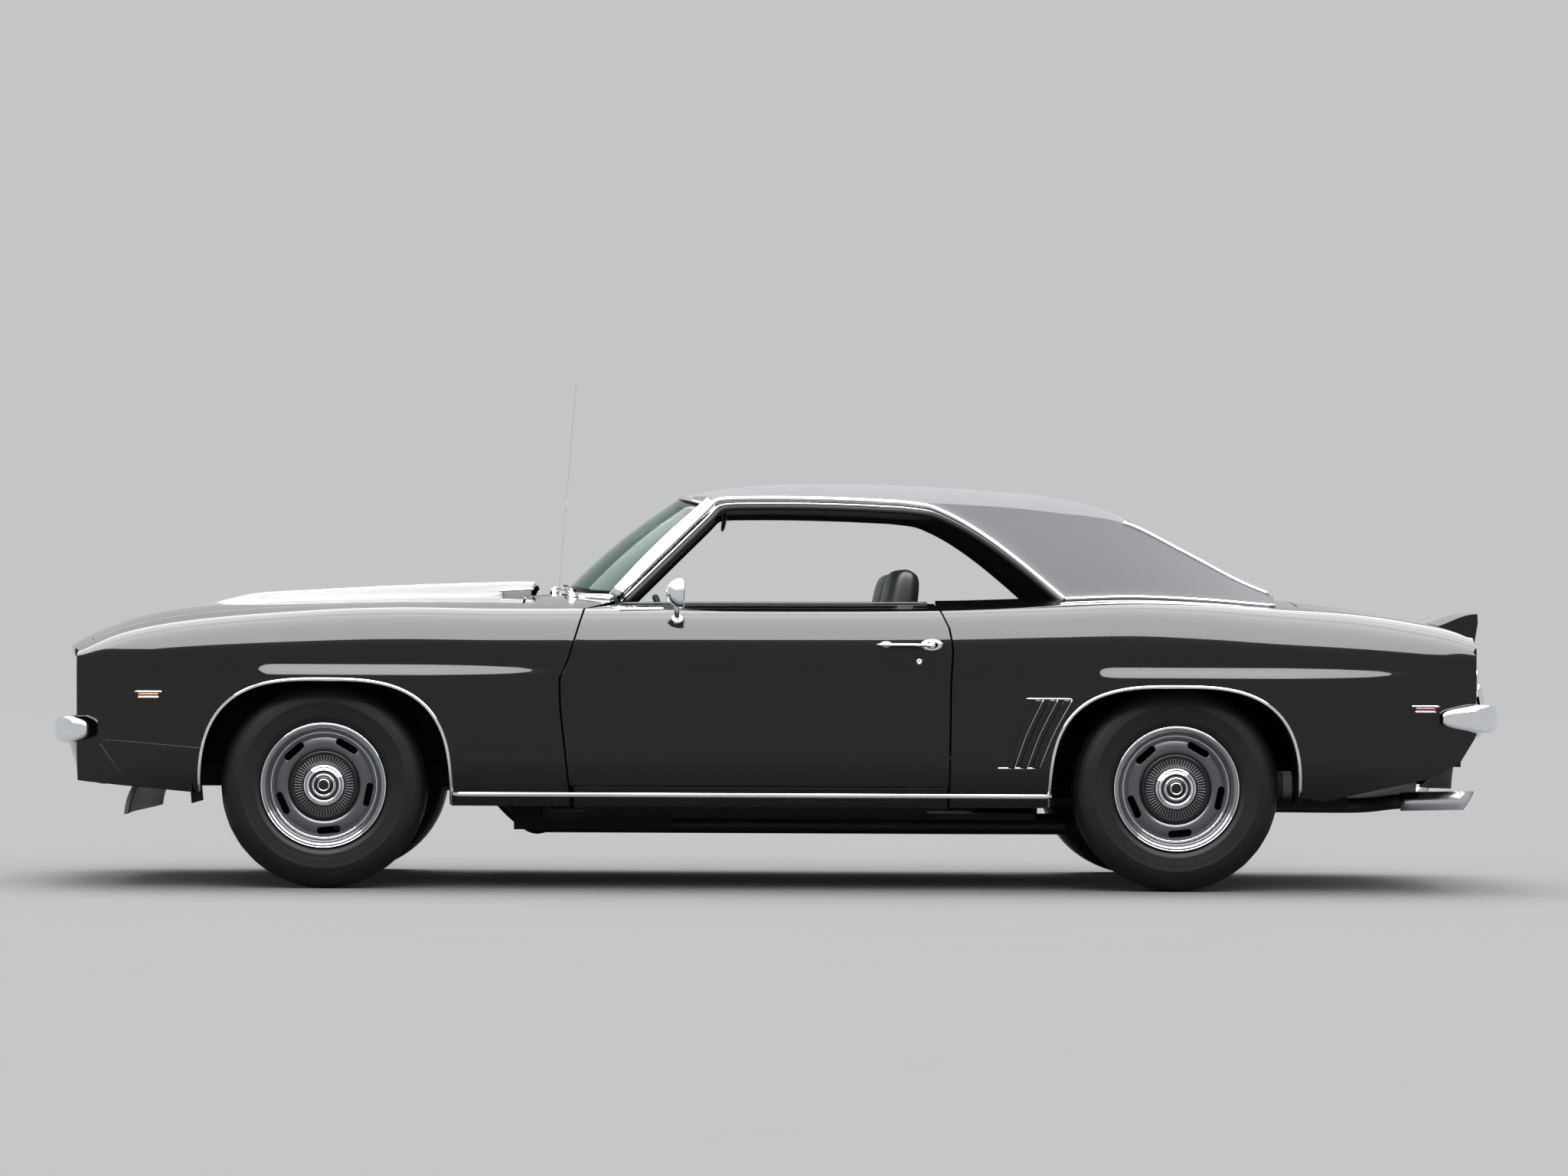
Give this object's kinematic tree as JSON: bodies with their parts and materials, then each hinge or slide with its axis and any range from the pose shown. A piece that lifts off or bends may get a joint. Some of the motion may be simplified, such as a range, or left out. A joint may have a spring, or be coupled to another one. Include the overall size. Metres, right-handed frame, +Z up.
{
  "type": "muscle car",
  "caption": "two-door hardtop coupe with a raised hood, ducktail spoiler, slotted wheels, steering, opening doors, hood and deck lid",
  "frame": {"origin": "on the ground under the middle of the bounding box", "axes": "+X runs to the tail, so the nose points to -X; +Y is the right side of the car; +Z is up"},
  "size_m": [4.733, 1.9, 1.7072],
  "materials": {
    "body_paint": "gloss black with white stripes on hood, deck lid and spoiler",
    "vinyl_roof": "grained grey vinyl over the steel roof",
    "dark_plastic": "matte dark grey",
    "window_glass": "lightly green tinted",
    "lamp_glass": "clear ribbed lens over a bright reflector",
    "red_lens": "deep red",
    "bright_chrome": "polished",
    "satin_black": "satin black",
    "bare_steel": "dull",
    "wheel_grey": "silver grey",
    "engine_iron": "plain",
    "cabin_plastic": "black",
    "seat_cover": "black vinyl",
    "tyre_rubber": "black"
  },
  "bodies": {
    "car_body": {"floor_pan": "satin_black", "tunnel": "satin_black", "firewall": "satin_black", "rear_seat_base": "satin_black", "sills": "satin_black", "trunk_floor": "satin_black", "rear_bulkhead": "satin_black", "floor_rails": "satin_black", "downpipes": "bare_steel", "inner_fenders": "satin_black", "fender_left": "body_paint", "fender_right": "body_paint", "quarter_left": "body_paint", "quarter_right": "body_paint", "cowl": "body_paint", "nose_panel": "body_paint", "front_valance": "body_paint", "air_dam": "dark_plastic", "grille": "dark_plastic", "headlamps": "lamp_glass", "front_bumper": "bright_chrome", "roof": "vinyl_roof", "windshield": "window_glass", "rear_window": "window_glass", "rear_filler": "body_paint", "tail_panel": "body_paint", "tail_lamps": "red_lens", "rear_bumper": "bright_chrome", "plate_bracket": "bare_steel", "dashboard": "cabin_plastic", "seat_left": "seat_cover", "seat_right": "seat_cover", "rear_seat": "seat_cover", "engine": "engine_iron", "radiator": "satin_black", "front_subframe": "satin_black", "rear_axle": "satin_black", "exhaust": "bare_steel", "fuel_tank": "bare_steel", "antenna": "bright_chrome"},
    "hood": {"hood": "body_paint"},
    "deck_lid": {"deck_lid": "body_paint", "spoiler": "body_paint"},
    "door_left": {"door_left": "body_paint", "mirror_left": "bright_chrome"},
    "door_right": {"door_right": "body_paint"},
    "steering_wheel": {"steering_wheel": "cabin_plastic"},
    "steering_linkage": {"steering_linkage": "bare_steel"},
    "knuckle_left": {"knuckle_left": "satin_black"},
    "knuckle_right": {"knuckle_right": "satin_black"},
    "wheel_front_left": {"rim_front_left": "wheel_grey", "tyre_front_left": "tyre_rubber"},
    "wheel_front_right": {"rim_front_right": "wheel_grey", "tyre_front_right": "tyre_rubber"},
    "wheel_rear_left": {"rim_rear_left": "wheel_grey", "tyre_rear_left": "tyre_rubber"},
    "wheel_rear_right": {"rim_rear_right": "wheel_grey", "tyre_rear_right": "tyre_rubber"}
  },
  "joints": [
    {"name": "door_left_hinge", "type": "hinge", "parent": "car_body", "child": "door_left", "pos_m": [-0.6515, -0.916, 0.6], "axis": [0, 0, -1], "range_deg": [0, 65]},
    {"name": "door_right_hinge", "type": "hinge", "parent": "car_body", "child": "door_right", "pos_m": [-0.6515, 0.916, 0.6], "axis": [0, 0, 1], "range_deg": [0, 65]},
    {"name": "hood_hinge", "type": "hinge", "parent": "car_body", "child": "hood", "pos_m": [-0.7615, 0, 0.945], "axis": [0, 1, 0], "range_deg": [0, 50]},
    {"name": "deck_lid_hinge", "type": "hinge", "parent": "car_body", "child": "deck_lid", "pos_m": [1.6815, 0, 0.94], "axis": [0, -1, 0], "range_deg": [0, 50]},
    {"name": "steering_wheel_turn", "type": "hinge", "parent": "car_body", "child": "steering_wheel", "pos_m": [-0.3215, -0.4, 0.78], "axis": [0.9272, 0, 0.3746], "range_deg": [-512, 512]},
    {"name": "linkage_slide", "type": "slide", "parent": "car_body", "child": "steering_linkage", "axis": [0, 1, 0], "range_m": [-0.07, 0.07]},
    {"name": "kingpin_left", "type": "hinge", "parent": "car_body", "child": "knuckle_left", "pos_m": [-1.4515, -0.69, 0.332], "axis": [0, 0, 1], "range_deg": [-32, 32]},
    {"name": "kingpin_right", "type": "hinge", "parent": "car_body", "child": "knuckle_right", "pos_m": [-1.4515, 0.69, 0.332], "axis": [0, 0, 1], "range_deg": [-32, 32]},
    {"name": "wheel_front_left_spin", "type": "hinge", "parent": "knuckle_left", "child": "wheel_front_left", "pos_m": [-1.4515, -0.757, 0.332], "axis": [0, 1, 0], "continuous": true},
    {"name": "wheel_front_right_spin", "type": "hinge", "parent": "knuckle_right", "child": "wheel_front_right", "pos_m": [-1.4515, 0.757, 0.332], "axis": [0, 1, 0], "continuous": true},
    {"name": "wheel_rear_left_spin", "type": "hinge", "parent": "car_body", "child": "wheel_rear_left", "pos_m": [1.2915, -0.7555, 0.332], "axis": [0, 1, 0], "continuous": true},
    {"name": "wheel_rear_right_spin", "type": "hinge", "parent": "car_body", "child": "wheel_rear_right", "pos_m": [1.2915, 0.7555, 0.332], "axis": [0, 1, 0], "continuous": true}
  ],
  "couplings": [
    {"joint": "kingpin_left", "follows": "steering_wheel_turn", "ratio": 0.0625},
    {"joint": "kingpin_right", "follows": "steering_wheel_turn", "ratio": 0.0625},
    {"joint": "linkage_slide", "follows": "steering_wheel_turn", "m_per_rad": 0.00772}
  ]
}
